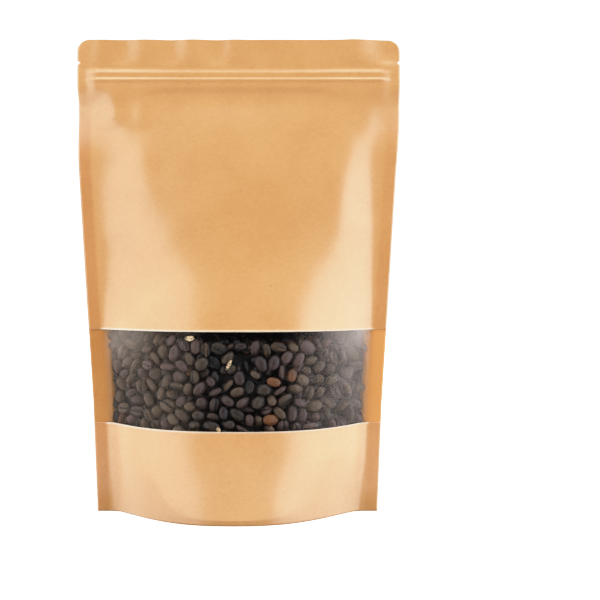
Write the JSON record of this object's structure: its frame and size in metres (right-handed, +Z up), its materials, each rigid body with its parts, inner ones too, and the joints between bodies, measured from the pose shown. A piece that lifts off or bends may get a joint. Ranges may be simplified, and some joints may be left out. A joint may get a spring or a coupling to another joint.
{
  "type": "stand-up coffee pouch with window",
  "caption": "Upright kraft paper pouch with side seals, press zip, folded bottom gusset and a clear strip across the front that shows roasted coffee beans.",
  "frame": {"origin": "on the floor, under the middle of the bag's base", "axes": "+Z up, -Y towards the front with the window, +X to the right seen from the front"},
  "size_m": [0.2, 0.073, 0.292],
  "materials": {
    "kraft_paper": "satin laminated kraft",
    "clear_film": "clear gloss film",
    "zip_plastic": "milky plastic",
    "roasted_beans": "dark roasted coffee, satin"
  },
  "bodies": {
    "root": {"front_paper_upper": "kraft_paper", "window_film": "clear_film", "front_paper_lower": "kraft_paper", "back_paper": "kraft_paper", "bottom_gusset": "kraft_paper", "press_zip": "zip_plastic", "coffee_beans": "roasted_beans"}
  },
  "joints": []
}
